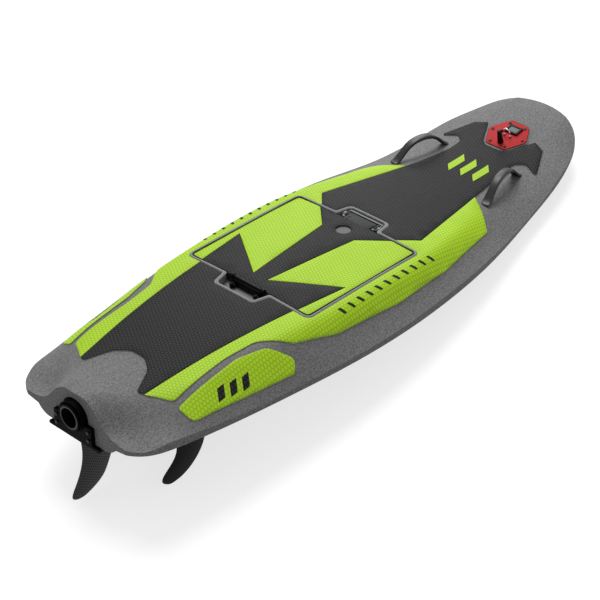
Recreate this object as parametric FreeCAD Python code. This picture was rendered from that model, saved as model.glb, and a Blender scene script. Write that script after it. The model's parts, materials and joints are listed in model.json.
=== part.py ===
"""Motorized surfboard: a rigid decked hull with a water-jet drive in the tail, a battery bay under a
hinged lid, foam deck pads, two grab handles, a control panel on the nose and three fins.

The board is drawn level: x runs forward from the transom, y to port, z up from the deck at the lid.
At the end every piece is turned and lifted together, so that the board stands on its side fins and
the forward part of its belly, as it does when it is put down on a floor. Millimetres and degrees.
"""
import FreeCAD, Part
import math
import os

V = FreeCAD.Vector
X, Y, Z = V(1, 0, 0), V(0, 1, 0), V(0, 0, 1)

# Driving sizes of the deck and hull
FAR = 600.0                  # reach of helper solids beyond the hull
PAD_T = 4.0                  # foam deck pads
GAP = 0.3                    # clearance between pieces that sit against each other
PAD_GAP = 1.0                # seam between two pads

# Battery hatch: outside of the grey rim, as seen from above
HATCH_AFT = 582.0
HATCH_FORE = 1007.0
HATCH_HALF = 218.0
RIM_W = 8.0
RIM_DEPTH = 26.0
RIM_FLOOR = 4.0
SEAT_W = 18.0
LID_GAP = 2.5
CORNER_R = 18.0
BUMP_HALF = 71.0             # half width of the latch and hinge recesses
BUMP_AFT = 49.0              # reach of the latch recess behind the rim
BUMP_FORE = 50.0             # reach of the hinge recess ahead of the rim
BAY_DEPTH = 150.0

# Lid hinge in the forward recess
PIN_X = 1024.0
PIN_Z = -8.0
PIN_R = 4.0
TAB_HALF = 47.0
TAB_NOSE_R = 11.0
EAR_R = 9.0
DISC_X = 949.0               # round cap on the lid
DISC_R = 21.0
DISC_T = 3.0

# Jet drive on the centreline
DUCT_Z = -92.0
DUCT_BORE_R = 46.0
HOUSING_WALL = 7.0
DUCT_LEN = 176.0
NOZZLE_OUT = 22.0            # how far the nozzle stands out behind the transom
NOZZLE_R = 27.0
NOZZLE_WALL = 5.0
COLLAR_R = 42.0
EXIT_LEN = 18.0
CONE_LEN = 34.0
BLADES = 4
VANES = 5
TIP_GAP = 1.2
HUB_R = 16.0
SHAFT_R = 6.0
SHAFT_GAP = 0.4
IMPELLER_X = 84.0
IMPELLER_LEN = 52.0
IMPELLER_TWIST = 80.0
STATOR_X = 36.0
STATOR_LEN = 38.0
STATOR_TAIL = 12.0           # closed aft part of the stator's hub
MOTOR_R = 50.0
MOTOR_LEN = 130.0
MOTOR_X = 440.0
MOTOR_ROOM = 5.0             # air around the motor
TUNNEL_HALF = 38.0
FLANGE_HALF = 67.0           # black block around the outlet
FLANGE_TOP = -100.0
FLANGE_OUT = 12.0
FLANGE_SEAT = 3.0

# Ride plate, grate and fins under the tail
PLATE_T = 8.0
PLATE_HALF = 90.0
PLATE_LEN = 190.0
PLATE_OUT = 10.0
STERN_BOTTOM = -150.0
GRATE_AFT = 205.0
GRATE_LEN = 195.0
GRATE_FRAME = 12.0
GRATE_SEAT = 5.0
GRATE_BARS = 5
BAR_W = 3.5
FIN_T = 9.0
SIDE_FIN_X = 188.0           # side fins sit this far ahead of the centre fin
SIDE_FIN_Y = 131.0
FIN_CANT = 4.0

# Control panel on the nose
PANEL_X = 1643.0
PANEL_SEAT_Z = 8.5
PANEL_TILT = 12.6
PANEL_R = 70.0
PANEL_T = 6.0
PANEL_PROUD = 3.0
PANEL_CORNER = 12.0
SCREW_PCD = 107.0
SCREW_R = 2.6
SCREW_DEPTH = 22.0
KNOB_AT = (-39.0, -6.0)      # on the panel, forward and to port
KNOB_R = 9.0
KNOB_TOP_R = 6.5
KNOB_H = 43.0
LOOP_AT = (-3.0, -1.0)
LOOP_R = 10.5
LOOP_WIRE_R = 2.2
LOOP_H = 14.0
POST_R = 5.5
POST_H = 10.0
DISPLAY = (4.0, 33.0, -30.0, 12.0)
DISPLAY_T = 5.0
BEZEL = 4.0

# Grab handles beside the front pad
HANDLE_X = 1436.0
HANDLE_Y = 147.5
HANDLE_TURN = -11.2
HANDLE_LEN = 206.0
HANDLE_W = 22.0
FOOT_T = 7.0
HANDLE_Z = -24.0

# Battery
BATTERY_X = 628.0
BATTERY_LEN = 270.0
BATTERY_HALF = 150.0
BATTERY_H = 108.0

# Cross-sections of the deck. Columns: station x, centre height, half width and height of the flat
# deck, y and z of the middle of the shoulder, y and z of the shoulder's foot, y and z of the rail
DECK = [
    (-12, -29, 34, -32, 66, -51, 106, -92, 215, -103),
    (70, -31, 62, -36, 98, -52, 140, -79, 234, -99),
    (140, -31, 122, -42, 160, -52, 196, -69, 253, -101),
    (200, -26, 150, -34, 184, -41, 212, -58, 266, -103),
    (300, -14, 168, -20, 193, -25, 216, -41, 282, -102),
    (400, -6, 180, -11, 207, -16, 233, -35, 295, -99),
    (500, -2, 198, -6, 229, -15, 253, -36, 310, -96),
    (620, 0, 214, -5, 247, -17, 271, -43, 325, -90),
    (990, 0, 220, -6, 258, -20, 282, -47, 333, -77),
    (1200, -8, 186, -15, 226, -28, 252, -47, 305, -71),
    (1370, -16, 150, -22, 190, -34, 222, -47, 267, -68),
    (1530, -11, 118, -16, 162, -23, 196, -30, 232, -42),
    (1660, 12, 104, 7, 142, 2, 170, -4, 203, -13),
    (1830, 44, 70, 42, 100, 37, 125, 31, 150, 22),
]
# Cross-sections of the bottom. Columns: station x, keel height, half width of the flat, y and z of
# the end of the bilge, y and z of the rail's lower edge
BOTTOM = [
    (-12, -150, 96, 138, -127, 215, -114),
    (220, -158, 130, 190, -138, 268, -120),
    (500, -172, 180, 252, -143, 310, -113),
    (900, -172, 200, 278, -138, 335, -98),
    (1250, -152, 168, 240, -118, 296, -84),
    (1500, -104, 116, 178, -84, 238, -62),
    (1680, -44, 70, 122, -36, 195, -24),
    (1830, 20, 40, 70, 22, 150, 26),
]
# Half outline seen from above, from the transom's corner to the nose. Columns: x, half width
OUTLINE = [
    (0, 178), (30, 218), (100, 243), (267, 277), (460, 305), (640, 328), (801, 337), (957, 331),
    (1200, 303), (1422, 256), (1607, 218), (1693, 190), (1746, 162), (1782, 123), (1804, 72),
]
NOSE_X = 1815.0

# Pad outlines, half of each. Columns: x, y, corner radius
FRONT_PAD = [
    (HATCH_FORE, 0, 0), (HATCH_FORE, 131, 0), (1058, 178, 3), (1340, 125, 30), (1377, 119, 30),
    (1500, 98, 40), (1552, 98, 24), (1572, 124, 14), (1552, 176, 6), (1647, 124, 3), (1661, 86, 3),
    (1590, 46, 5), (1575, 26, 12), (1575, 0, 0),
]
AFT_PAD = [
    (HATCH_AFT, 0, 0), (HATCH_AFT, 165.5, 0), (440, 150, 200), (121, 113, 7), (113, 96, 9),
    (182, 62, 50), (208, 24, 40), (208, 0, 0),
]
# Outline of the port side pad before the black pads and the rim are taken from it
SIDE_PAD = [
    (108, 90, 4), (158, 178, 22), (330, 176, 150), (424, 186, 60), (504, 243, 50), (630, 273, 150),
    (850, 289, 250), (1040, 279, 200), (1262, 239, 8), (1302, 188, 60), (1350, 118, 4), (1200, 100, 0),
    (1030, 90, 0), (560, 90, 0),
]
TAIL_PAD = [
    (154, 194, 7), (165, 237, 22), (465, 285, 16), (484, 265, 10), (432, 216, 40), (352, 195, 80),
]
# Lime field on the port half of the lid, before the lid's edge cuts it
LID_FIELD = [
    (635, 25, 0), (928, 57, 0), (1010, 142, 0), (1010, 230, 0), (585, 230, 0), (585, 171, 0),
    (597, 172, 0), (750, 190, 0),
]
# Fin sections. Columns: depth below the root, trailing x, leading x, share of the thickness
CENTRE_FIN = [
    (0, 8, 152, 1.0),
    (54, 12, 126, 0.9),
    (100, 5, 107, 0.75),
    (140, -13, 88, 0.6),
    (165, -27, 68, 0.45),
    (180, -27, 42, 0.3),
    (190, -8, 14, 0.12),
]
SIDE_FIN = [
    (0, 12, 136, 1.0),
    (70, 10, 115, 0.9),
    (111, -4, 98, 0.75),
    (138, -38, 77, 0.6),
    (153, -47, 58, 0.45),
    (166, -37, 33, 0.3),
    (174, -21, -2, 0.12),
]
# Half of the handle's side view, from the crown down to the forward foot. Columns: x, height
HANDLE_OUTER = [(0, 61), (28, 57), (52, 46), (76, 23), (90, 9)]
HANDLE_INNER = [(0, 47), (26, 44), (44, 34), (64, 10)]


def arc(a, b, c):
    return Part.Arc(a, b, c).toShape()


def corner_wire(rows, z=0.0):
    """Closed flat wire through corner points, each rounded by its radius."""
    edges, last, first = [], None, None
    count = len(rows)
    for i, (x, y, r) in enumerate(rows):
        here = V(x, y, z)
        before = V(rows[i - 1][0], rows[i - 1][1], z)
        after = V(rows[(i + 1) % count][0], rows[(i + 1) % count][1], z)
        a, b = (before - here), (after - here)
        la, lb = a.Length, b.Length
        a.normalize()
        b.normalize()
        half = math.acos(max(-1.0, min(1.0, a.dot(b)))) / 2
        if r > 0 and half < math.radians(89.5):
            d = min(r / math.tan(half), 0.48 * la, 0.48 * lb)
            r = d * math.tan(half)
            start, end = here + a * d, here + b * d
            bisector = (a + b).normalize()
            mid = here + bisector * (r / math.sin(half) - r)
            bend = arc(start, mid, end)
        else:
            start = end = here
            bend = None
        if last is not None and (start - last).Length > 1e-6:
            edges.append(Part.makeLine(last, start))
        if bend:
            edges.append(bend)
        if first is None:
            first = start
        last = end
    if (first - last).Length > 1e-6:
        edges.append(Part.makeLine(last, first))
    return Part.Wire(edges)


def mirrored(rows):
    """Full outline from a half outline that starts and ends on the centreline."""
    back = [(x, -y, r) for x, y, r in reversed(rows) if y != 0]
    ends = [row for row in rows if row[1] != 0]
    return ends + back


def prism(rows, low, high):
    """Upright solid over a rounded outline."""
    return Part.Face(corner_wire(rows, low)).extrude(V(0, 0, high - low))


def box(x0, x1, y0, y1, z0, z1):
    return Part.makeBox(x1 - x0, y1 - y0, z1 - z0, V(x0, y0, z0))


def flip(shape):
    """Mirror image on the other side of the centreline."""
    return shape.mirror(V(0, 0, 0), Y)


def flank(x, side, row):
    """Smooth side of a deck section, from the flat deck over the shoulder to the rail and beyond."""
    yp, zp, ym, zm, yf, zf, yr, zr = row
    out = yr + 80.0
    end = zr + (zr - zf) / (yr - yf) * 80.0
    points = [V(x, side * y, z) for y, z in ((yp, zp), (ym, zm), (yf, zf), (yr, zr), (out, end))]
    curve = Part.BSplineCurve()
    curve.interpolate(points if side > 0 else points[::-1])
    return curve.toShape(), points[-1]


def under_deck():
    """Everything below the deck surface, as a loft through the deck's cross-sections."""
    wires = []
    for x, zc, *row in DECK:
        yp, zp = row[:2]
        crown = arc(V(x, -yp, zp), V(x, 0, zc), V(x, yp, zp))
        port, port_end = flank(x, 1, row)
        starboard, starboard_end = flank(x, -1, row)
        port_low, starboard_low = (V(x, end.y, -FAR) for end in (port_end, starboard_end))
        wires.append(Part.Wire([
            Part.makeLine(starboard_low, starboard_end), starboard, crown, port,
            Part.makeLine(port_end, port_low), Part.makeLine(port_low, starboard_low),
        ]))
    return Part.makeLoft(wires, True, False)


def over_bottom():
    """Everything above the bottom surface, as a loft through the bottom's cross-sections."""
    wires = []
    for x, zk, yk, yb, zb, yr, zr in BOTTOM:
        slope = (zr - zb) / (yr - yb)
        out = yr + 80.0
        ze = zr + slope * 80.0
        bulge = V(x, (yk + yb) / 2 + 6.0, (zk + zb) / 2 - 4.0)
        edges = [
            Part.makeLine(V(x, -yk, zk), V(x, yk, zk)),
            arc(V(x, yk, zk), bulge, V(x, yb, zb)),
            Part.makeLine(V(x, yb, zb), V(x, out, ze)),
            Part.makeLine(V(x, out, ze), V(x, out, FAR)),
            Part.makeLine(V(x, out, FAR), V(x, -out, FAR)),
            Part.makeLine(V(x, -out, FAR), V(x, -out, ze)),
            Part.makeLine(V(x, -out, ze), V(x, -yb, zb)),
            arc(V(x, -yb, zb), V(x, -bulge.y, bulge.z), V(x, -yk, zk)),
        ]
        wires.append(Part.Wire(edges))
    return Part.makeLoft(wires, True, False)


def plan_prism():
    """Upright solid over the board's outline: transom, rounded tail, sides and blunt nose."""
    port = [V(x, y, -FAR) for x, y in OUTLINE]
    starboard = [V(p.x, -p.y, p.z) for p in reversed(port)]
    curve = Part.BSplineCurve()
    curve.interpolate(port + [V(NOSE_X, 0, -FAR)] + starboard)
    transom = Part.makeLine(starboard[-1], port[0])
    return Part.Face(Part.Wire([curve.toShape(), transom])).extrude(V(0, 0, 2 * FAR))


def panel_frame(shape):
    """Place a shape drawn about the panel's centre, its face up, onto the sloping nose."""
    shape = shape.copy()
    shape.rotate(V(0, 0, 0), Y, -PANEL_TILT)
    shape.translate(V(PANEL_X, 0, PANEL_SEAT_Z))
    return shape


def hexagon(radius, low, high):
    rows = []
    for i in range(6):
        angle = math.radians(90 + 60 * i)
        rows.append((radius * math.cos(angle), radius * math.sin(angle), PANEL_CORNER))
    return prism(rows, low, high)


UNDER = under_deck()
PAD_TOP = UNDER.translated(V(0, 0, PAD_T))
LID_Z = -RIM_DEPTH + RIM_FLOOR + GAP


def rim_rows(inset):
    """Half outline of the hatch with its two recesses, moved inward by inset."""
    r = CORNER_R - inset / 2
    return [
        (HATCH_FORE + BUMP_FORE - inset, 0, 0),
        (HATCH_FORE + BUMP_FORE - inset, BUMP_HALF - inset, r),
        (HATCH_FORE - inset, BUMP_HALF + 9 - inset, 8),
        (HATCH_FORE - inset, HATCH_HALF - inset, r),
        (HATCH_AFT + inset, HATCH_HALF - inset, r),
        (HATCH_AFT + inset, BUMP_HALF + 13 - inset, 8),
        (HATCH_AFT - BUMP_AFT + inset, BUMP_HALF - inset, r),
        (HATCH_AFT - BUMP_AFT + inset, 0, 0),
    ]


LID_EDGE = RIM_W + LID_GAP
LID_AFT = HATCH_AFT + LID_EDGE
LID_FORE = HATCH_FORE - LID_EDGE
LID_HALF = HATCH_HALF - LID_EDGE
LID_ROWS = mirrored([(LID_FORE, 0, 0), (LID_FORE, LID_HALF, 10), (LID_AFT, LID_HALF, 10), (LID_AFT, 0, 0)])
RIM_OUT = mirrored(rim_rows(0))
RIM_IN = mirrored(rim_rows(RIM_W))
BAY_AFT = HATCH_AFT + RIM_W + SEAT_W
BAY_FORE = HATCH_FORE - RIM_W - SEAT_W
BAY_HALF = HATCH_HALF - RIM_W - SEAT_W


def bay():
    return prism([(BAY_AFT, -BAY_HALF, 15), (BAY_FORE, -BAY_HALF, 15), (BAY_FORE, BAY_HALF, 15),
                  (BAY_AFT, BAY_HALF, 15)], -BAY_DEPTH, FAR)


def tunnel():
    """Water intake from the bottom opening up to the pump."""
    top = DUCT_Z + TUNNEL_HALF
    low = DUCT_Z - TUNNEL_HALF
    fore = GRATE_AFT + GRATE_LEN
    points = [V(DUCT_LEN - 2, -TUNNEL_HALF, top), V(DUCT_LEN + 60, -TUNNEL_HALF, top),
              V(fore, -TUNNEL_HALF, -150), V(fore, -TUNNEL_HALF, -FAR),
              V(GRATE_AFT, -TUNNEL_HALF, -FAR), V(GRATE_AFT, -TUNNEL_HALF, -145),
              V(DUCT_LEN - 2, -TUNNEL_HALF, low)]
    return Part.Face(Part.makePolygon(points + points[:1])).extrude(V(0, 2 * TUNNEL_HALF, 0))


def along_x(radius, x0, x1, z=DUCT_Z):
    return Part.makeCylinder(radius, x1 - x0, V(x0, 0, z), X)


def grate_block(inset):
    """Room for the grate's frame in the bottom."""
    rim = GRATE_FRAME - inset
    return box(GRATE_AFT - rim, GRATE_AFT + GRATE_LEN + rim, -TUNNEL_HALF - rim, TUNNEL_HALF + rim,
               -FAR, STERN_BOTTOM - GRATE_SEAT - inset)


def build_hull():
    hull = UNDER.common(over_bottom()).common(plan_prism())
    hull = hull.cut(prism(RIM_OUT, -RIM_DEPTH, FAR))
    hull = hull.cut(bay())
    hull = hull.cut(along_x(MOTOR_R + MOTOR_ROOM, MOTOR_X - GAP, BAY_AFT + RIM_W))
    hull = hull.cut(along_x(DUCT_BORE_R, -NOZZLE_OUT, DUCT_LEN))
    hull = hull.cut(tunnel())
    hull = hull.cut(along_x(SHAFT_R + 2, DUCT_LEN, MOTOR_X + 10))
    hull = hull.cut(box(-FAR, FLANGE_SEAT, -FLANGE_HALF - GAP, FLANGE_HALF + GAP, -FAR, FLANGE_TOP + GAP))
    hull = hull.cut(box(-FAR, PLATE_LEN + GAP, -PLATE_HALF - GAP, PLATE_HALF + GAP, -FAR,
                        STERN_BOTTOM + GAP))
    hull = hull.cut(grate_block(0))
    hull = hull.cut(panel_frame(hexagon(PANEL_R + GAP, -PANEL_T + PANEL_PROUD - GAP, FAR / 4)))
    for hole in screw_holes(-SCREW_DEPTH):
        hull = hull.cut(panel_frame(hole))
    return hull


def build_rim():
    top = PAD_TOP.common(prism(RIM_OUT, -RIM_DEPTH + GAP, FAR / 4))
    rim = top.cut(prism(RIM_IN, -RIM_DEPTH + RIM_FLOOR, FAR))
    rim = rim.cut(bay())
    inner = BUMP_HALF - RIM_W
    ears = []
    for y0, y1 in ((TAB_HALF + 1.5, inner + 1), (-inner - 1, -TAB_HALF - 1.5)):
        block = box(PIN_X - EAR_R, PIN_X + EAR_R, y0, y1, -RIM_DEPTH + RIM_FLOOR, PIN_Z)
        ears.append(block.fuse(Part.makeCylinder(EAR_R, y1 - y0, V(PIN_X, y0, PIN_Z), Y)))
    pin_hole = Part.makeCylinder(PIN_R + 0.1, 2 * inner, V(PIN_X, -inner, PIN_Z), Y)
    return rim.fuse(ears).cut(pin_hole)


def build_lid():
    plate = prism(LID_ROWS, LID_Z, FAR / 4).common(UNDER)
    nose = Part.makeCylinder(TAB_NOSE_R, 2 * TAB_HALF, V(PIN_X, -TAB_HALF, PIN_Z), Y)
    web = box(LID_FORE, PIN_X, -TAB_HALF, TAB_HALF, PIN_Z - TAB_NOSE_R, PIN_Z + TAB_NOSE_R - 3)
    lid = plate.fuse([web, nose])
    lid = lid.cut(Part.makeCylinder(PIN_R + GAP, 2 * TAB_HALF, V(PIN_X, -TAB_HALF, PIN_Z), Y))
    return lid.cut(Part.makeCylinder(DISC_R, FAR, V(DISC_X, 0, -DISC_T), Z)).removeSplitter()


def pad(rows, cutters):
    """Foam pad of even height on the deck inside an outline."""
    low = -120.0
    blank = prism(rows, low, 80.0).common(PAD_TOP).cut(UNDER)
    for cutter in cutters:
        blank = blank.cut(cutter)
    return blank


def grown(rows, by):
    """Outline prism widened by a seam, made from copies shifted to all sides."""
    base = prism(rows, -130.0, 90.0)
    shifted = [base.translated(V(by * math.cos(a), by * math.sin(a), 0))
               for a in [math.radians(45 * i) for i in range(8)]]
    return base.fuse(shifted)


def build_pads():
    rim_block = prism(RIM_OUT, -130.0, 90.0)
    front_rows, aft_rows = mirrored(FRONT_PAD), mirrored(AFT_PAD)
    front = pad(front_rows, [rim_block])
    aft = pad(aft_rows, [rim_block])
    side = pad(SIDE_PAD, [grown(front_rows, PAD_GAP), grown(aft_rows, PAD_GAP), rim_block])
    side = max(side.Solids, key=lambda s: s.Volume)
    tail = pad(TAIL_PAD, [])
    return front, aft, side, tail


def build_lid_pads():
    top = pad(LID_ROWS, [])
    wide = grown(LID_FIELD, PAD_GAP)
    port = top.common(prism(LID_FIELD, -130.0, 90.0))
    black = top.cut(wide).cut(flip(wide)).cut(Part.makeCylinder(DISC_R, FAR, V(DISC_X, 0, -DISC_T), Z))
    return black, port, flip(port)


def build_fin(rows):
    """Swept foil drawn with its root at z = 0 and its chord along x."""
    wires = []
    for depth, aft, fore, share in rows:
        mid, half = (aft + fore) / 2, FIN_T * share / 2
        a, b = V(aft, 0, -depth), V(fore, 0, -depth)
        wires.append(Part.Wire([arc(a, V(mid, half, -depth), b), arc(b, V(mid, -half, -depth), a)]))
    return Part.makeLoft(wires, True, False)


def arch(half_rows, foot):
    """Smooth arch through a half profile and its mirror image, ending low at both feet."""
    rows = [(-x, z) for x, z in reversed(half_rows[1:])] + half_rows
    curve = Part.BSplineCurve()
    curve.interpolate([V(x, -HANDLE_W / 2, z) for x, z in rows])
    return curve.toShape(), V(-foot, -HANDLE_W / 2, -20), V(foot, -HANDLE_W / 2, -20)


def build_handle():
    """Grab handle drawn along x with its feet near z = 0, before the deck trims the feet."""
    half = HANDLE_LEN / 2
    outer, aft, fore = arch(HANDLE_OUTER, half)
    inner, inner_aft, inner_fore = arch(HANDLE_INNER, HANDLE_INNER[-1][0] + 2)
    toe = V(half - 2, -HANDLE_W / 2, FOOT_T)
    heel = V(-toe.x, toe.y, toe.z)
    ends = [
        (outer.Vertexes[-1].Point, toe), (toe, fore), (fore, inner_fore),
        (inner_fore, inner.Vertexes[-1].Point), (inner.Vertexes[0].Point, inner_aft),
        (inner_aft, aft), (aft, heel), (heel, outer.Vertexes[0].Point),
    ]
    lines = [Part.makeLine(a, b) for a, b in ends]
    wire = Part.Wire(Part.__sortEdges__([outer, inner] + lines))
    return Part.Face(wire).extrude(V(0, HANDLE_W, 0))


def place_handle(side):
    handle = build_handle()
    handle.rotate(V(0, 0, 0), Z, side * HANDLE_TURN)
    handle.translate(V(HANDLE_X, side * HANDLE_Y, HANDLE_Z))
    return handle.cut(UNDER)


def build_housing():
    outer = along_x(DUCT_BORE_R - GAP, FLANGE_SEAT, DUCT_LEN - GAP)
    flange = box(-FLANGE_OUT, FLANGE_SEAT - GAP, -FLANGE_HALF, FLANGE_HALF, STERN_BOTTOM + GAP, FLANGE_TOP)
    collar = along_x(COLLAR_R, -NOZZLE_OUT + 6, 20)
    housing = outer.fuse([flange, collar])
    return housing.cut(along_x(DUCT_BORE_R - HOUSING_WALL, -NOZZLE_OUT, DUCT_LEN + 1))


def build_nozzle():
    """Converging outlet with a straight mouth behind the transom."""
    mouth = -NOZZLE_OUT
    seat_r = DUCT_BORE_R - HOUSING_WALL - GAP
    throat = mouth + EXIT_LEN
    root = throat + CONE_LEN
    profile = [V(mouth, 0, NOZZLE_R), V(mouth, 0, NOZZLE_R + NOZZLE_WALL),
               V(throat, 0, NOZZLE_R + NOZZLE_WALL), V(root - 8, 0, seat_r), V(root, 0, seat_r),
               V(root, 0, seat_r - 1.5), V(throat, 0, NOZZLE_R)]
    face = Part.Face(Part.makePolygon(profile + profile[:1]))
    ring = face.revolve(V(0, 0, 0), X, 360)
    ring.translate(V(0, 0, DUCT_Z))
    return ring


def blade_set(count, x0, length, twist, r_in, r_out, thick):
    """Twisted blades around a hub on the jet's axis, each a loft through turned radial sections."""
    blades = []
    steps = 4
    for i in range(count):
        wires = []
        for k in range(steps + 1):
            x = x0 + length * k / steps
            turn = 360.0 * i / count + twist * k / steps
            wire = Part.makePolygon([V(x, -thick / 2, r_in), V(x, thick / 2, r_in), V(x, thick / 2, r_out),
                                     V(x, -thick / 2, r_out), V(x, -thick / 2, r_in)])
            wire.rotate(V(x, 0, 0), X, turn)
            wires.append(wire)
        blades.append(Part.makeLoft(wires, True, False))
    return blades


def build_rotor():
    r_tip = DUCT_BORE_R - HOUSING_WALL - TIP_GAP
    hub = Part.makeCylinder(HUB_R, IMPELLER_LEN, V(IMPELLER_X, 0, 0), X)
    nose = Part.makeCone(HUB_R, SHAFT_R + 1, 22, V(IMPELLER_X + IMPELLER_LEN, 0, 0), X)
    blades = blade_set(BLADES, IMPELLER_X + 3, IMPELLER_LEN - 6, IMPELLER_TWIST, HUB_R - 4, r_tip, 4)
    rotor = hub.fuse([nose] + blades)
    rotor = rotor.common(Part.makeCylinder(r_tip, FAR, V(0, 0, 0), X))
    rotor = rotor.cut(Part.makeCylinder(SHAFT_R, FAR, V(0, 0, 0), X))
    rotor.translate(V(0, 0, DUCT_Z))
    return rotor


def build_stator():
    r_tip = DUCT_BORE_R - HOUSING_WALL - 0.1
    hub = Part.makeCylinder(HUB_R - 1, STATOR_LEN, V(STATOR_X, 0, 0), X)
    tail = Part.makeCone(7, HUB_R - 1, 18, V(STATOR_X - 18, 0, 0), X)
    vanes = blade_set(VANES, STATOR_X + 3, STATOR_LEN - 6, -25, HUB_R - 4, r_tip + 1, 4)
    stator = hub.fuse([tail] + vanes)
    stator = stator.common(Part.makeCylinder(r_tip, FAR, V(-FAR / 2, 0, 0), X))
    bore_x = STATOR_X + STATOR_TAIL
    stator = stator.cut(Part.makeCylinder(SHAFT_R + SHAFT_GAP, STATOR_LEN, V(bore_x, 0, 0), X))
    stator.translate(V(0, 0, DUCT_Z))
    return stator


def build_grate():
    block = grate_block(GAP)
    size = block.BoundBox
    frame = block.cut(box(GRATE_AFT, GRATE_AFT + GRATE_LEN, -TUNNEL_HALF, TUNNEL_HALF, -FAR, FAR))
    pitch = 2 * TUNNEL_HALF / (GRATE_BARS + 1)
    bars = [box(GRATE_AFT - 4, GRATE_AFT + GRATE_LEN + 4, -TUNNEL_HALF + pitch * i - BAR_W / 2,
                -TUNNEL_HALF + pitch * i + BAR_W / 2, -FAR, size.ZMax) for i in range(1, GRATE_BARS + 1)]
    return frame.fuse(bars)


def build_latch():
    """Black draw latch on the lid's aft edge: a cross bar with end knobs over a grip blade."""
    x = HATCH_AFT + LID_EDGE - 6
    half = BUMP_HALF - RIM_W - 3
    bar = Part.makeCylinder(4, 2 * half - 10, V(x, -half + 5, 0), Y)
    knobs = [Part.makeCylinder(5.5, 9, V(x, y, 0), Y) for y in (-half, half - 9)]
    blade = box(x - 5, x + 5.7, -half + 8, half - 8, -18, 0)
    grip = box(x - 12, x - 2, -half + 16, half - 16, -18, -12)
    hooks = [box(x - 14, x - 2, y, y + 7, -14, -2) for y in (-half + 8, half - 15)]
    return bar.fuse(knobs + [blade, grip] + hooks)


def screw_holes(low):
    """Six holes on the panel's screw circle, from low up through the plate."""
    holes = []
    for i in range(6):
        a = math.radians(90 + 60 * i)
        at = V(SCREW_PCD / 2 * math.cos(a), SCREW_PCD / 2 * math.sin(a), low)
        holes.append(Part.makeCylinder(SCREW_R, FAR / 4, at, Z))
    return holes


def build_panel():
    plate = hexagon(PANEL_R, -PANEL_T + PANEL_PROUD, PANEL_PROUD)
    for hole in screw_holes(-SCREW_DEPTH):
        plate = plate.cut(hole)
    post = Part.makeCylinder(POST_R, POST_H, V(*LOOP_AT, PANEL_PROUD), Z)
    return panel_frame(plate.fuse(post))


def build_display():
    x0, x1, y0, y1 = DISPLAY
    top = PANEL_PROUD + DISPLAY_T
    case = box(x0, x1, y0, y1, PANEL_PROUD, top)
    case = case.makeFillet(1.5, [e for e in case.Edges if abs(e.BoundBox.ZLength - DISPLAY_T) < 0.1])
    window = box(x0 + BEZEL, x1 - BEZEL, y0 + BEZEL, y1 - BEZEL, top - 1, top + 1)
    return panel_frame(case.cut(window))


def build_knob():
    return panel_frame(Part.makeCone(KNOB_R, KNOB_TOP_R, KNOB_H, V(*KNOB_AT, PANEL_PROUD), Z))


def build_loop():
    """Tether eye: a round wire bent over the red post, with a foot on each side."""
    x, y = LOOP_AT
    low, high = PANEL_PROUD, PANEL_PROUD + LOOP_H
    starboard, port = y - LOOP_R, y + LOOP_R
    path = Part.Wire([
        Part.makeLine(V(x, starboard, low), V(x, starboard, high)),
        arc(V(x, starboard, high), V(x, y, high + LOOP_R), V(x, port, high)),
        Part.makeLine(V(x, port, high), V(x, port, low)),
    ])
    ring = Part.Wire(Part.makeCircle(LOOP_WIRE_R, V(x, starboard, low), Z))
    feet = [Part.makeCylinder(2 * LOOP_WIRE_R, 2, V(x, foot, low), Z) for foot in (starboard, port)]
    return panel_frame(path.makePipeShell([ring], True, False).fuse(feet))


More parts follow.
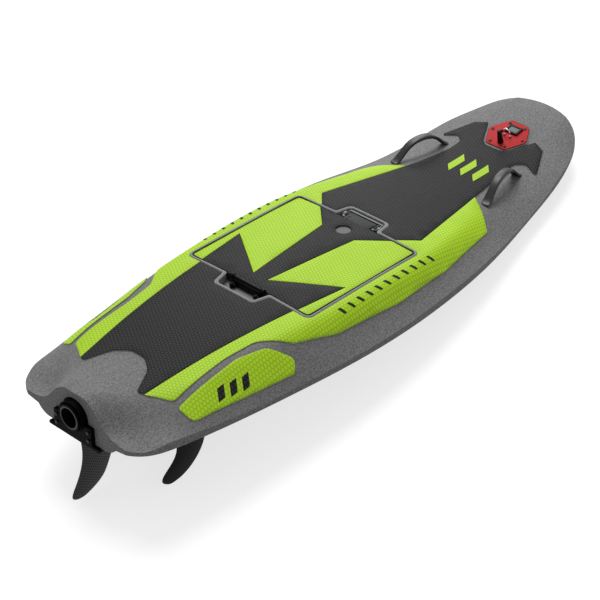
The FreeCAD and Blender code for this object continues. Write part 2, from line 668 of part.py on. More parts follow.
def build_all():
    hull = build_hull()
    front, aft, side, tail = build_pads()
    black, lid_port, lid_starboard = build_lid_pads()
    centre_fin = build_fin(CENTRE_FIN).translated(V(0, 0, STERN_BOTTOM - PLATE_T))
    side_fin = build_fin(SIDE_FIN)
    side_fin.rotate(V(0, 0, 0), X, FIN_CANT)
    side_fin.translate(V(SIDE_FIN_X, SIDE_FIN_Y, STERN_BOTTOM))
    side_fin = side_fin.cut(over_bottom().translated(V(0, 0, -GAP)))
    handles = {side_name: place_handle(sign) for side_name, sign in (("port", 1), ("starboard", -1))}
    plate = box(-PLATE_OUT, PLATE_LEN, -PLATE_HALF, PLATE_HALF, STERN_BOTTOM - PLATE_T, STERN_BOTTOM)
    grate = build_grate().common(over_bottom())
    pin = Part.makeCylinder(PIN_R, 2 * (BUMP_HALF - RIM_W) - 2 * GAP,
                            V(PIN_X, -(BUMP_HALF - RIM_W) + GAP, PIN_Z), Y)
    shaft = along_x(SHAFT_R, STATOR_X + STATOR_TAIL + 2, MOTOR_X - GAP)
    battery = box(BATTERY_X, BATTERY_X + BATTERY_LEN, -BATTERY_HALF, BATTERY_HALF, -BAY_DEPTH,
                  -BAY_DEPTH + BATTERY_H)
    motor = along_x(MOTOR_R, MOTOR_X, MOTOR_X + MOTOR_LEN)
    disc = Part.makeCylinder(DISC_R - GAP, DISC_T, V(DISC_X, 0, -DISC_T), Z)
    return {
        "hull": hull,
        "hatch_rim": build_rim(),
        "hinge_pin": pin,
        "deck_pad_front": front,
        "deck_pad_aft": aft,
        "side_pad_port": side,
        "side_pad_starboard": flip(side),
        "tail_pad_port": tail,
        "tail_pad_starboard": flip(tail),
        "lid": build_lid(),
        "lid_pad_centre": black,
        "lid_pad_port": lid_port,
        "lid_pad_starboard": lid_starboard,
        "lid_disc": disc,
        "lid_latch": build_latch(),
        "handle_port": handles["port"],
        "handle_starboard": handles["starboard"],
        "control_panel": build_panel(),
        "display": build_display(),
        "key_knob": build_knob(),
        "tether_eye": build_loop(),
        "jet_housing": build_housing(),
        "jet_nozzle": build_nozzle(),
        "stator": build_stator(),
        "impeller": build_rotor(),
        "drive_shaft": shaft,
        "intake_grate": grate,
        "ride_plate": plate,
        "fin_centre": centre_fin,
        "fin_port": side_fin,
        "fin_starboard": flip(side_fin),
        "battery_case": battery,
        "motor": motor,
    }


def parking(pieces):
    """Turn and lift that stand the level board on its side fins and belly."""
    tips = [v.Point for v in pieces["fin_port"].Vertexes]
    keel = [(x, zk) for x, zk, *_ in BOTTOM if x > HATCH_FORE]
    slope = max(min((zk - tip.z) / (x - tip.x) for x, zk in keel) for tip in tips)
    return math.degrees(math.atan(slope))


def park(shape, angle, shift):
    shape = shape.copy()
    shape.rotate(V(0, 0, 0), Y, angle)
    shape.translate(shift)
    return shape


def main():
    os.makedirs("parts", exist_ok=True)
    pieces = build_all()
    angle = parking(pieces)
    turned = [park(shape, angle, V(0, 0, 0)) for shape in pieces.values()]
    bounds = Part.makeCompound(turned).optimalBoundingBox(False)
    shift = V(-bounds.Center.x, -bounds.Center.y, -bounds.ZMin)
    print("parking angle %.3f, shift %.3f %.3f %.3f" % (angle, shift.x, shift.y, shift.z))
    for name, shape in pieces.items():
        park(shape, angle, shift).exportStep("parts/%s.step" % name)
        print("%-20s solids %d  volume %.1f cm3  valid %s" % (
            name, len(shape.Solids), shape.Volume / 1000, shape.isValid()))


main()
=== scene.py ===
# %% [markdown]
# # A motorized surfboard, dressed in Blender
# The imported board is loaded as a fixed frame: hull, lid, rotor and fins are where the CAD put
# them. Everything below adds looks to that frame: foam pads with soft edges, a grey bead round
# the hatch, moulded grips, a control panel and finishes. Lengths are in millimetres in a level
# design frame, with x from the transom to the nose, y to port and z up, because that is how a
# board is drawn.

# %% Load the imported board
import json
import math

import bmesh
import bpy
from mathutils import Matrix, Vector
from mathutils.bvhtree import BVHTree


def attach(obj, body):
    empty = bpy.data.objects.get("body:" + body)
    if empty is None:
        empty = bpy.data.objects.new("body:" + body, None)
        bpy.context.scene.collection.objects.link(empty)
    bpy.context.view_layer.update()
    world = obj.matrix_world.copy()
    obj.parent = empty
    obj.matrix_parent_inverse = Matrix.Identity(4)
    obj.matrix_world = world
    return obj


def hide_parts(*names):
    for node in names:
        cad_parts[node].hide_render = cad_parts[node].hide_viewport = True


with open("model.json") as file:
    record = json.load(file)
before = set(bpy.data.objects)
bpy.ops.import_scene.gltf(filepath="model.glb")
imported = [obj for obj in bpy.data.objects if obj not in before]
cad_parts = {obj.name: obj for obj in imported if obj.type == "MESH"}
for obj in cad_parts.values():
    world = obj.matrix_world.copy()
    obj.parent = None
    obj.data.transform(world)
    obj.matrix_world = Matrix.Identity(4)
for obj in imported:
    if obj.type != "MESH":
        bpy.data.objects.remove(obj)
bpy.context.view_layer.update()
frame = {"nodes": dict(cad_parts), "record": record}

# %% [markdown]
# The board rests nose down on its side fins and belly. Its two joints tell how it was turned:
# the rotor's axis is the board's long direction and the lid's hinge is a known point. From them
# comes one matrix that takes level millimetres to the parked metres of the frame.

# %% From the level design frame to the parked board
joints = {joint["name"]: joint for joint in frame["record"]["behaviour"]["joints"]}
HINGE = Vector((1024.0, 0.0, -8.0))
forward = Vector(joints["impeller_spin"]["axis"])
pitch = math.atan2(-forward.z, forward.x)
TURN = Matrix.Rotation(pitch, 4, "Y")
PARK = Matrix.Translation(Vector(joints["lid_hinge"]["pos_m"]) - TURN @ (HINGE / 1000)) @ TURN
TO_PARKED = PARK @ Matrix.Scale(0.001, 4)
TO_LEVEL = TO_PARKED.inverted()
print("pitch in degrees", round(math.degrees(pitch), 3))

# %% [markdown]
# The camera stands behind the starboard quarter and looks forward and down, as in the product
# picture. A long lens at almost five metres keeps the hatch's sides nearly parallel. Its place
# was worked out in the level frame, so it is parked by the same matrix as the board.

# %% Camera
EYE = Vector((-2485.0, -3100.2, 2851.4))
HEADING = math.radians(43.5)
FOCAL_PIXELS, FRAME_PIXELS, SENSOR_MM = 2047.5, 600.0, 36.0
HORIZON_PIXELS = 1360.0  # the horizon's height above the middle of the frame
DIP = math.atan2(HORIZON_PIXELS, FOCAL_PIXELS)

look = Vector((math.cos(HEADING) * math.cos(DIP), math.sin(HEADING) * math.cos(DIP),
               -math.sin(DIP)))
right = Vector((math.sin(HEADING), -math.cos(HEADING), 0.0))
up = right.cross(look)
place = Matrix((right, up, -look)).transposed().to_4x4()
place.translation = EYE / 1000
camera = bpy.data.objects.new("camera", bpy.data.cameras.new("camera"))
bpy.context.scene.collection.objects.link(camera)
camera.matrix_world = PARK @ place
camera.data.sensor_width = SENSOR_MM
camera.data.lens = FOCAL_PIXELS * SENSOR_MM / FRAME_PIXELS
camera.data.clip_end = 100.0
bpy.context.scene.camera = camera
print("camera at", [round(c, 3) for c in camera.location])

# %% [markdown]
# Materials are small node trees. One function turns a hex colour, as a paint chart gives it,
# into the linear values that Cycles works with. Another adds one node with its settings and
# links. Patterns read Object coordinates turned back level, so that grooves run along the board
# and not along the floor.

# %% Helpers for materials
def srgb(text):
    """Linear colour from an sRGB hex value such as #7d7d7d."""
    parts = [int(text[i:i + 2], 16) / 255 for i in (1, 3, 5)]
    linear = [c / 12.92 if c <= 0.04045 else ((c + 0.055) / 1.055) ** 2.4 for c in parts]
    return (*linear, 1.0)


def add(tree, kind, inputs=None, **settings):
    """Add one node. Inputs that are sockets are linked, other inputs are set."""
    made = tree.nodes.new(kind)
    for key, value in settings.items():
        setattr(made, key, value)
    for key, value in (inputs or {}).items():
        if isinstance(value, bpy.types.NodeSocket):
            tree.links.new(value, made.inputs[key])
        else:
            made.inputs[key].default_value = value
    return made


def new_material(name):
    """Empty material; returns the material and its node tree."""
    material = bpy.data.materials.new(name)
    material.use_nodes = True
    material.node_tree.nodes.clear()
    return material, material.node_tree


def level_coordinates(tree):
    """Object coordinates in metres, turned back to the level design frame."""
    place = add(tree, "ShaderNodeTexCoord")
    turn = add(tree, "ShaderNodeMapping", {
        "Vector": place.outputs["Object"], "Rotation": (0, -pitch, 0)})
    return turn.outputs["Vector"]


def surface(tree, shader):
    """Join a shader to the material's output."""
    add(tree, "ShaderNodeOutputMaterial", {"Surface": shader.outputs[0]})


print("hex #808080 is", round(srgb("#808080")[0], 3), "in linear light")

# %% [markdown]
# Deck pads are closed-cell EVA foam sheets, 4 mm thick, pressed with a grip pattern of
# round-cornered cells that stand in rows like a honeycomb, 10 mm from one to the next. The eye
# sees a matte sheet with a fine slanting grid. Waves in three directions, 60 degrees apart, add
# up to exactly that field of cells. Two cosines are enough for it, because the sum of the three
# is 2 b (a + b) - 1, with a running along the board and b across it. The same value sinks the
# bump and paints the furrows darker, as painted shade in the grooves.

# %% Textured EVA foam
CELL_PITCH = 0.010
CELL_ROW = CELL_PITCH * math.cos(math.radians(30))
PORES_PER_M = 900.0  # open pores of about 1.1 mm
PATCHES_PER_M = 14.0  # slow drift of tone, about 70 mm across
CELL_HEIGHT = 0.0006


def foam(name, face, furrow_shade, gloss, depth):
    """Matte foam with a honeycomb of raised cells and painted shade in the furrows."""
    material, tree = new_material(name)
    at = level_coordinates(tree)
    split = add(tree, "ShaderNodeSeparateXYZ", {"Vector": at})
    waves = []
    for axis, period in (("X", CELL_PITCH), ("Y", 2 * CELL_ROW)):
        angle = add(tree, "ShaderNodeMath", {0: split.outputs[axis], 1: 2 * math.pi / period},
                    operation="MULTIPLY")
        wave = add(tree, "ShaderNodeMath", {0: angle.outputs[0]}, operation="COSINE")
        waves.append(wave.outputs[0])
    both = add(tree, "ShaderNodeMath", {0: waves[0], 1: waves[1]})
    field = add(tree, "ShaderNodeMath", {0: both.outputs[0], 1: waves[1]}, operation="MULTIPLY")
    cells = add(tree, "ShaderNodeMapRange", {
        "Value": field.outputs[0], "From Min": -0.25, "From Max": 0.75},
        interpolation_type="SMOOTHSTEP")
    pores = add(tree, "ShaderNodeTexNoise", {"Vector": at, "Scale": PORES_PER_M, "Detail": 2.0})
    patchy = add(tree, "ShaderNodeTexNoise", {"Vector": at, "Scale": PATCHES_PER_M, "Detail": 2.0})
    worn = add(tree, "ShaderNodeMapRange", {
        "Value": patchy.outputs["Fac"], "To Min": 0.94, "To Max": 1.06})
    # The furrows get the darker colour: painted shade in the grooves
    tint = add(tree, "ShaderNodeMix", {
        "Factor": cells.outputs[0], "A": srgb(furrow_shade), "B": srgb(face)}, data_type="RGBA")
    shade = add(tree, "ShaderNodeVectorMath", {
        0: tint.outputs["Result"], "Scale": worn.outputs[0]}, operation="SCALE")
    coarse = add(tree, "ShaderNodeMath", {0: pores.outputs["Fac"], 1: 0.12}, operation="MULTIPLY")
    height = add(tree, "ShaderNodeMath", {0: cells.outputs[0], 1: coarse.outputs[0]})
    bump = add(tree, "ShaderNodeBump", {
        "Height": height.outputs[0], "Strength": depth, "Distance": CELL_HEIGHT})
    surface(tree, add(tree, "ShaderNodeBsdfPrincipled", {
        "Base Color": shade.outputs[0], "Roughness": 0.58, "Specular IOR Level": gloss,
        "Normal": bump.outputs[0]}))
    return material


# Closed-cell EVA, black and heat-pressed: charcoal cells, furrows painted near black as shade,
# hardly any shine
BLACK_FOAM = foam("charcoal_eva_foam", "#2f3030", "#0b0b0b", 0.16, 0.6)
# The same foam dyed lime: a bright even colour in which the furrows, painted darker as shade,
# show as a faint slanting net
LIME_FOAM = foam("lime_eva_foam", "#b8e024", "#97c414", 0.3, 0.3)
print("foam cell rows", round(CELL_ROW * 1000, 2), "mm apart")

# %% [markdown]
# The shell is moulded in a satin grey plastic with a fleck. Close up it looks like fine gravel
# in two greys; from five metres it is a soft grain. Speckles could be scattered as small dots,
# but a noise texture with its contrast raised gives the same random grain without a seam. The
# flecks are drawn 4 mm wide, coarser than real, so that they still show in the picture.

# %% Flecked shell
FLECKS_PER_M = 240.0
CLOUDS_PER_M = 9.0  # slow drift of tone, about 110 mm across


def flecked(name, base, light, dark, roughness, gloss):
    """Satin moulding with light and dark flecks round a base colour."""
    material, tree = new_material(name)
    at = level_coordinates(tree)
    grain = add(tree, "ShaderNodeTexNoise", {
        "Vector": at, "Scale": FLECKS_PER_M, "Detail": 3.0, "Roughness": 0.6})
    cloud = add(tree, "ShaderNodeTexNoise", {"Vector": at, "Scale": CLOUDS_PER_M, "Detail": 3.0})
    spread = add(tree, "ShaderNodeMapRange", {
        "Value": grain.outputs["Fac"], "From Min": 0.36, "From Max": 0.64})
    two = add(tree, "ShaderNodeMix", {
        "Factor": spread.outputs[0], "A": srgb(dark), "B": srgb(light)}, data_type="RGBA")
    drift = add(tree, "ShaderNodeMapRange", {
        "Value": cloud.outputs["Fac"], "To Min": 0.0, "To Max": 0.45})
    mixed = add(tree, "ShaderNodeMix", {
        "Factor": drift.outputs[0], "A": two.outputs["Result"], "B": srgb(base)},
        data_type="RGBA")
    bump = add(tree, "ShaderNodeBump", {
        "Height": grain.outputs["Fac"], "Strength": 0.35, "Distance": 0.0005})
    surface(tree, add(tree, "ShaderNodeBsdfPrincipled", {
        "Base Color": mixed.outputs["Result"], "Roughness": roughness, "Specular IOR Level": gloss,
        "Normal": bump.outputs[0]}))
    return material


# Moulded ABS sheet with grey flecks: a dry, satin surface that never shows a sharp highlight
SHELL = flecked("flecked_grey_shell", "#747474", "#8b8b8b", "#5a5a5a", 0.64, 0.25)
# Injection-moulded ABS trim, smoother and paler than the shell, so the bead reads as a light line
RIM_GREY = flecked("satin_grey_moulding", "#868887", "#8d8f8e", "#7f8180", 0.45, 0.3)
print("flecks", round(1000 / FLECKS_PER_M, 1), "mm wide")

# %% [markdown]
# The small parts are mouldings, castings and turned metal. What tells them apart is not a
# pattern but how dark they are and how widely they spread a highlight, so one material function
# serves them all: a plain colour, a roughness that wanders a little with a fine grain, and a
# faint bump. Low specular levels keep the blacks black beside the white floor, as real textured
# plastic does. Metals keep the default IOR.

# %% Plain moulded and metal finishes
GRAIN_MM = 1.2  # finer in a real mould, drawn this coarse so that it softens a highlight


def moulded(name, colour, roughness, metallic=0.0, strength=0.2, **extra):
    """Satin moulding or metal with a fine surface grain."""
    material, tree = new_material(name)
    at = level_coordinates(tree)
    grain = add(tree, "ShaderNodeTexNoise", {
        "Vector": at, "Scale": 1000.0 / GRAIN_MM, "Detail": 2.0})
    rough = add(tree, "ShaderNodeMapRange", {
        "Value": grain.outputs["Fac"], "To Min": roughness - 0.06, "To Max": roughness + 0.06})
    bump = add(tree, "ShaderNodeBump", {
        "Height": grain.outputs["Fac"], "Strength": strength, "Distance": 0.0002})
    surface(tree, add(tree, "ShaderNodeBsdfPrincipled", {
        "Base Color": srgb(colour), "Roughness": rough.outputs[0], "Metallic": metallic,
        "Normal": bump.outputs[0], **extra}))
    return material


def shine(level):
    """Specular level for a plastic that mirrors less than the default."""
    return {"Specular IOR Level": level}


print("plain finishes ready, grain", GRAIN_MM, "mm")

# %% [markdown]
# Real parts are named here with how they were made and what that gives the eye. The roughness
# starts from what such a surface usually has, 0.4 for a polished mould and 0.7 for rubber, and
# is then matched to the board.

# %% Plastic, rubber and painted parts
# Filled nylon, cast rough: so dark and dull that the jet block reads as one black shape
JET_BLACK = moulded("black_filled_nylon_casting", "#040404", 0.6, **shine(0.04))
# Glass-filled nylon, injection moulded: black with a broad soft sheen on its curves
BLACK_PLASTIC = moulded("glass_filled_nylon", "#0b0b0b", 0.42, **shine(0.3))
# Acetal, moulded and slippery: black, a little shinier at its edges than the nylon
LATCH_BLACK = moulded("black_acetal", "#050505", 0.45, **shine(0.15))
# Soft polyurethane grip, moulded: a dark grey that goes pale where the sky grazes it
GRIP_RUBBER = moulded("moulded_grip_rubber", "#303030", 0.4)
# Extruded EPDM seal: black and matte, it only shows as a line; the same black is painted shade on
# the lid's foam walls and in the hinge recess
SEAL_AND_SHADE_BLACK = moulded("seal_rubber_and_painted_shade", "#0c0c0c", 0.7)
# Structural foam moulding of the lid, spark-textured: charcoal without a highlight
LID_GREY = moulded("lid_moulding", "#313232", 0.6, **shine(0.25))
# ABS plug, spark-textured: flat mid grey
DISC_GREY = moulded("matte_plug_moulding", "#747474", 0.65, **shine(0.25))
# Painted highlight along the cut edge of the EVA sheet: a pale wall that stands for light caught
# on every seam
FOAM_EDGE_HIGHLIGHT = moulded("foam_edge_painted_highlight", "#8f9096", 0.7)
# Aluminium plate, milled and anodised red: an even deep red, satin rather than metallic
RED_PLATE = moulded("red_anodised_plate", "#bd2325", 0.5, **shine(0.1))
# Polycarbonate window of an unlit display: a flat grey pane
GLASS = moulded("display_glass", "#7c7f7f", 0.55, strength=0.02, **shine(0.1))
# Battery case, injection-moulded ABS: slate grey and satin
BATTERY = moulded("battery_case", "#34373a", 0.5)
# Side fins, cast in black nylon: plain black with a faint sheen
FIN_BLACK = moulded("cast_fin_resin", "#060606", 0.4, **shine(0.1))
print("materials so far", len(bpy.data.materials))

# %% [markdown]
# Metals are the few parts that mirror their surroundings. They are metallic 1 and differ in
# roughness: the polished tether eye is low, turned and cast parts are higher. Oxide-blackened
# screws are only part metal to the eye, so their metallic value is low too.

# %% Metals
# Stainless steel, polished: bright, it mirrors the white floor
CHROME = moulded("polished_stainless", "#f2f2f4", 0.22, metallic=1.0, strength=0.03)
# Stainless steel, turned: a grey metal with a wide highlight
STEEL = moulded("turned_stainless", "#a8aab0", 0.3, metallic=1.0)
# Steel screws with a black oxide: dark, with a trace of metal on their rims
STEEL_BLACK = moulded("black_oxide_steel", "#121213", 0.45, metallic=0.3)
# Painted shade for screw sockets, bolt holes and the grips' undersides: near black, since little
# light gets in
PAINTED_SHADE_BLACK = moulded("painted_shade_black", "#050505", 0.55, **shine(0.2))
# Cast aluminium of the motor: pale grey metal, softly lit
ALLOY = moulded("cast_alloy", "#9a9ca0", 0.4, metallic=1.0)
print("metals done, materials so far", len(bpy.data.materials))

# %% [markdown]
# The centre fin is laid up in carbon cloth under clear resin. Its tows cross slantwise and
# shine along their length, so the eye sees two sets of fine pale lines on black. The tows are
# drawn 7 mm apart, coarser than real so that they show. Two wave textures, turned either way,
# give the lines, and a thin clear coat keeps the surface smooth.

# %% Carbon cloth
TOW_MM = 7.0
TOW_TURNS = (58.0, -34.0)
WAVE_UNIT = 2 * math.pi / 20  # a wave texture of this scale repeats once per unit of length


def carbon(name, dark, light):
    """Cloth of crossing tows under a thin clear coat."""
    material, tree = new_material(name)
    at = level_coordinates(tree)
    lines = []
    for degrees in TOW_TURNS:
        turned = add(tree, "ShaderNodeMapping", {
            "Vector": at, "Rotation": (0, math.radians(degrees), 0)})
        wave = add(tree, "ShaderNodeTexWave", {
            "Vector": turned.outputs["Vector"], "Scale": 1000 * WAVE_UNIT / TOW_MM})
        lines.append(add(tree, "ShaderNodeMapRange", {
            "Value": wave.outputs["Fac"], "From Min": 0.55, "From Max": 1.0}).outputs[0])
    cloth = add(tree, "ShaderNodeMath", {0: lines[0], 1: lines[1]}, operation="MAXIMUM")
    tint = add(tree, "ShaderNodeMix", {
        "Factor": cloth.outputs[0], "A": srgb(dark), "B": srgb(light)}, data_type="RGBA")
    gloss = add(tree, "ShaderNodeMapRange", {
        "Value": cloth.outputs[0], "To Min": 0.45, "To Max": 0.3})
    surface(tree, add(tree, "ShaderNodeBsdfPrincipled", {
        "Base Color": tint.outputs["Result"], "Roughness": gloss.outputs[0],
        "Specular IOR Level": 0.15, "Coat Weight": 0.12, "Coat Roughness": 0.2}))
    return material


# Carbon fibre cloth, woven and laid up in epoxy: black with fine pale lines where the tows shine
CARBON = carbon("carbon_cloth_in_resin", "#060607", "#454547")
print("tows", TOW_MM, "mm apart")

# %% [markdown]
# Most CAD nodes already have the right shape. Drawing them again would only lose accuracy, so
# they keep their meshes and only change their finish: one table names the material of every
# node.

# %% Finishes for the CAD nodes
NODE_FINISH = {
    "hull": SHELL, "hatch_rim": RIM_GREY, "hinge_pin": STEEL, "lid": LID_GREY,
    "lid_disc": DISC_GREY, "lid_latch": BLACK_PLASTIC, "handle_port": GRIP_RUBBER,
    "handle_starboard": GRIP_RUBBER, "control_panel": RED_PLATE, "display": BLACK_PLASTIC,
    "key_knob": BLACK_PLASTIC, "tether_eye": CHROME, "jet_housing": JET_BLACK,
    "jet_nozzle": BLACK_PLASTIC, "stator": JET_BLACK, "impeller": STEEL, "drive_shaft": STEEL,
    "intake_grate": BLACK_PLASTIC, "ride_plate": JET_BLACK, "fin_centre": CARBON,
    "fin_port": FIN_BLACK, "fin_starboard": FIN_BLACK, "battery_case": BATTERY, "motor": ALLOY,
    "deck_pad_front": BLACK_FOAM, "deck_pad_aft": BLACK_FOAM, "lid_pad_centre": BLACK_FOAM,
    "side_pad_port": LIME_FOAM, "side_pad_starboard": LIME_FOAM, "tail_pad_port": LIME_FOAM,
    "tail_pad_starboard": LIME_FOAM, "lid_pad_port": LIME_FOAM, "lid_pad_starboard": LIME_FOAM,
}
for node_name, finish in NODE_FINISH.items():
    mesh = frame["nodes"][node_name].data
    mesh.materials.clear()
    mesh.materials.append(finish)
print("finished", len(NODE_FINISH), "CAD nodes")

# %% [markdown]
# Every new piece is drawn level and in millimetres, parked by one matrix at the end, and told
# which body it rides on. Small helpers make the shapes that a workshop would cut: a block with
# broken edges, a turned rod, a rounded outline and a tube along a path. Edges that bend more
# than 35 degrees stay crisp, the rest is smooth.

# %% Parking a piece
def level_copy(node):
    """Merged copy of a CAD node's mesh, level and in millimetres."""
    bm = bmesh.new()
    bm.from_mesh(frame["nodes"][node].data)
    bm.transform(TO_LEVEL)
    bmesh.ops.remove_doubles(bm, verts=bm.verts, dist=0.02)
    return bm


def finish_piece(name, bm, material, body="board", replaces=(), crisp=35.0):
    """Park a level bmesh and make it a piece that rides on a body."""
    for face in bm.faces:
        face.smooth = True
    for edge in bm.edges:
        edge.smooth = len(edge.link_faces) == 2 and edge.calc_face_angle() < math.radians(crisp)
    bm.transform(TO_PARKED)
    mesh = bpy.data.meshes.new(name)
    bm.to_mesh(mesh)
    bm.free()
    mesh.materials.append(material)
    piece = bpy.data.objects.new(name, mesh)
    bpy.context.scene.collection.objects.link(piece)
    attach(piece, body)
    if replaces:
        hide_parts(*replaces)
    return piece


print("a level millimetre is parked as", round(TO_PARKED.median_scale, 6), "m")

# %% [markdown]
# Most fittings on a board are sawn blocks and turned rods. Both start from a create operator
# that puts the shape where it belongs, and both get a small round bevel, since no real edge is
# perfectly sharp and that bevel is what catches the light. The same helper bevels every edge,
# so all parts look made alike.

# %% Blocks and rods
def soften(bm, edges, width):
    """Break edges with a small round bevel."""
    bmesh.ops.bevel(bm, geom=edges, offset=width, segments=3, profile=0.5, affect="EDGES",
                    material=-1)


def block(bm, low, high, edge=1.0, at=Matrix.Identity(4)):
    """Box between two corners with its edges broken by a small bevel."""
    low, high = Vector(low), Vector(high)
    size = Matrix.Diagonal((high - low).to_4d())
    centre = Matrix.Translation((low + high) / 2)
    made = bmesh.ops.create_cube(bm, size=1.0, matrix=at @ centre @ size)
    edges = list({e for v in made["verts"] for e in v.link_edges})
    if edge:
        soften(bm, edges, edge)


def rod(bm, start, end, radius, end_radius=None, sides=32, edge=0.0, at=Matrix.Identity(4)):
    """Round bar or cone between two points, with closed and lightly bevelled ends."""
    start, end = Vector(start), Vector(end)
    turn = (end - start).to_track_quat("Z", "Y").to_matrix().to_4x4()
    made = bmesh.ops.create_cone(
        bm, cap_ends=True, segments=sides, radius1=radius,
        radius2=radius if end_radius is None else end_radius, depth=(end - start).length,
        matrix=at @ Matrix.Translation((start + end) / 2) @ turn)
    if edge:
        rims = [e for e in {e for v in made["verts"] for e in v.link_edges}
                if sorted(len(f.verts) for f in e.link_faces)[-1] == sides]
        soften(bm, rims, edge)


print("blocks and rods ready, bevels of three segments")

# %% [markdown]
# Plates, seals and beads follow outlines: straight sides with rounded corners. An outline is a
# list of corners with a radius each. Arcs could be worked out by hand, but a vertex bevel
# rounds a corner in one step and keeps the sides straight.

# %% Outlines
SQUARE = [(0, 0, 0), (100, 0, 0), (100, 100, 0), (0, 100, 0)]


def rounded_face(bm, rows, z=0.0, steps=5):
    """Flat face through corner points, each corner rounded by its own radius."""
    face = bm.faces.new([bm.verts.new((x, y, z)) for x, y, _ in rows])
    corners = list(zip(list(face.verts), [radius for _, _, radius in rows]))
    for corner, radius in corners:
        if radius:
            bmesh.ops.bevel(bm, geom=[corner], offset=radius, segments=steps, profile=0.5,
                            affect="VERTICES", material=-1)
    return max(bm.faces, key=lambda f: len(f.verts))


def mirrored(rows):
    """Whole outline from the port half, listed from the nose side aft."""
    return rows + [(x, -y, radius) for x, y, radius in reversed(rows)]


def outline_points(rows, cuts=0, longer_than=60.0):
    """Points round a rounded outline; its long stretches can be divided."""
    bm = bmesh.new()
    face = rounded_face(bm, rows)
    if cuts:
        long_edges = [e for e in bm.edges if e.calc_length() > longer_than]
        bmesh.ops.subdivide_edges(bm, edges=long_edges, cuts=cuts)
    points = [v.co.copy() for v in face.verts]
    bm.free()
    return points


print("a square with two cuts a side has", len(outline_points(SQUARE, cuts=2)), "points")

# %% [markdown]
# Beads, lips, seals and bent wire keep one round section along their whole length. A tube is a
# bevelled curve along such a path, the plainest tool for that: swept rings of a mesh would need
# care at each corner. Where a path has to lie on the deck, a ray from above tells how high the
# deck is at a place.

# %% Tubes and heights
def tube(name, paths, radius, resolution, material, body="board", closed=False, replaces=()):
    """Round section along level paths, closed in a loop or capped at its ends."""
    curve = bpy.data.curves.new(name, "CURVE")
    curve.dimensions = "3D"
    curve.bevel_depth = radius / 1000
    curve.bevel_resolution = resolution
    curve.use_fill_caps = not closed
    for path in paths:
        spline = curve.splines.new("POLY")
        spline.points.add(len(path) - 1)
        for point, at in zip(spline.points, path):
            point.co = (TO_PARKED @ at).to_4d()
        spline.use_cyclic_u = closed
    curve.materials.append(material)
    piece = bpy.data.objects.new(name, curve)
    bpy.context.scene.collection.objects.link(piece)
    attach(piece, body)
    if replaces:
        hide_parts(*replaces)
    return piece


ABOVE_DECK = 90.0


def height_at(tree, x, y):
    """Height of a surface at a level place, looked up from above."""
    return tree.ray_cast(Vector((x, y, ABOVE_DECK)), Vector((0, 0, -1)))[0].z


print("tubes ready, heights looked up from", ABOVE_DECK, "mm")

# %% [markdown]
# The deck is covered with 4 mm foam sheets. On the real board they are cut with a router whose
# bit leaves a soft upper edge, and that edge is what catches the light along every seam. Each
# sheet starts from the top skin of its CAD pad, is stepped up twice by an inset to round the
# edge, and is then extruded down. The wall is painted pale, a painted highlight that draws a thin
# light line round every cut-out; on the lid it is painted black instead, as painted shade in the
# seams and round the disc. Box modelling each outline again would only repeat the CAD, so the
# skin is reused.

# %% Foam sheets with rounded edges
EDGE_STEPS = [(0.5, 0.9), (0.9, 0.5)]
EDGE_DROP = 1.4
FOAM_T = 4.0
FOAM_SHEETS = [
    ("deck_pad_front", BLACK_FOAM, "foam_black", "board"),
    ("deck_pad_aft", BLACK_FOAM, "foam_black", "board"),
    ("side_pad_port", LIME_FOAM, "foam_lime", "board"),
    ("side_pad_starboard", LIME_FOAM, "foam_lime", "board"),
    ("tail_pad_port", LIME_FOAM, "foam_lime", "board"),
    ("tail_pad_starboard", LIME_FOAM, "foam_lime", "board"),
    # The lid's sheets get black walls: painted shade in the seams and round the disc
    ("lid_pad_centre", BLACK_FOAM, "foam_black", "lid", SEAL_AND_SHADE_BLACK),
    ("lid_pad_port", LIME_FOAM, "foam_lime", "lid", SEAL_AND_SHADE_BLACK),
    ("lid_pad_starboard", LIME_FOAM, "foam_lime", "lid", SEAL_AND_SHADE_BLACK),
]


def foam_sheet(node, material, slot, body, wall_painted_light=FOAM_EDGE_HIGHLIGHT):
    """Foam sheet with a rounded upper edge in place of a CAD pad."""
    bm = level_copy(node)
    bmesh.ops.delete(bm, geom=[f for f in bm.faces if f.normal.z < 0.3], context="FACES")
    bmesh.ops.translate(bm, verts=bm.verts, vec=(0, 0, -EDGE_DROP))
    skin = bm.faces[:]
    for width, rise in EDGE_STEPS:
        bmesh.ops.inset_region(bm, faces=skin, thickness=width, depth=rise, use_boundary=True)
    top = bm.faces[:]
    under = bmesh.ops.extrude_face_region(bm, geom=top, use_keep_orig=True)["geom"]
    low_verts = [v for v in under if isinstance(v, bmesh.types.BMVert)]
    bmesh.ops.translate(bm, verts=low_verts, vec=(0, 0, EDGE_DROP - FOAM_T))
    kept = set(top) | {f for f in under if isinstance(f, bmesh.types.BMFace)}
    for wall in set(bm.faces) - kept:
        # Walls take the second material: a painted highlight, and on the lid painted shade
        wall.material_index = 1
    bmesh.ops.recalc_face_normals(bm, faces=bm.faces)
    piece = finish_piece(node.replace("pad", "foam"), bm, material, body, [node])
    piece.data.materials.append(wall_painted_light)
    return piece


sheets = [foam_sheet(*row) for row in FOAM_SHEETS]
print("foam sheets", [(s.name, len(s.data.polygons)) for s in sheets])

# %% [markdown]
# A moulded grey bead runs round the hatch and both of its recesses, a little proud of the foam.
# It is one closed tube, half sunk in the rim. Its path is a rounded outline that is dropped
# onto the rim's top, so the bead follows the crown of the deck by itself.

# %% Bead round the hatch
BEAD_ROWS = mirrored([(1053, 67, 16), (1003, 76, 8), (1003, 214, 15), (586, 214, 15),
                      (586, 80, 8), (537, 67, 16)])
BEAD_R = 4.2
BEAD_SINK = 2.2

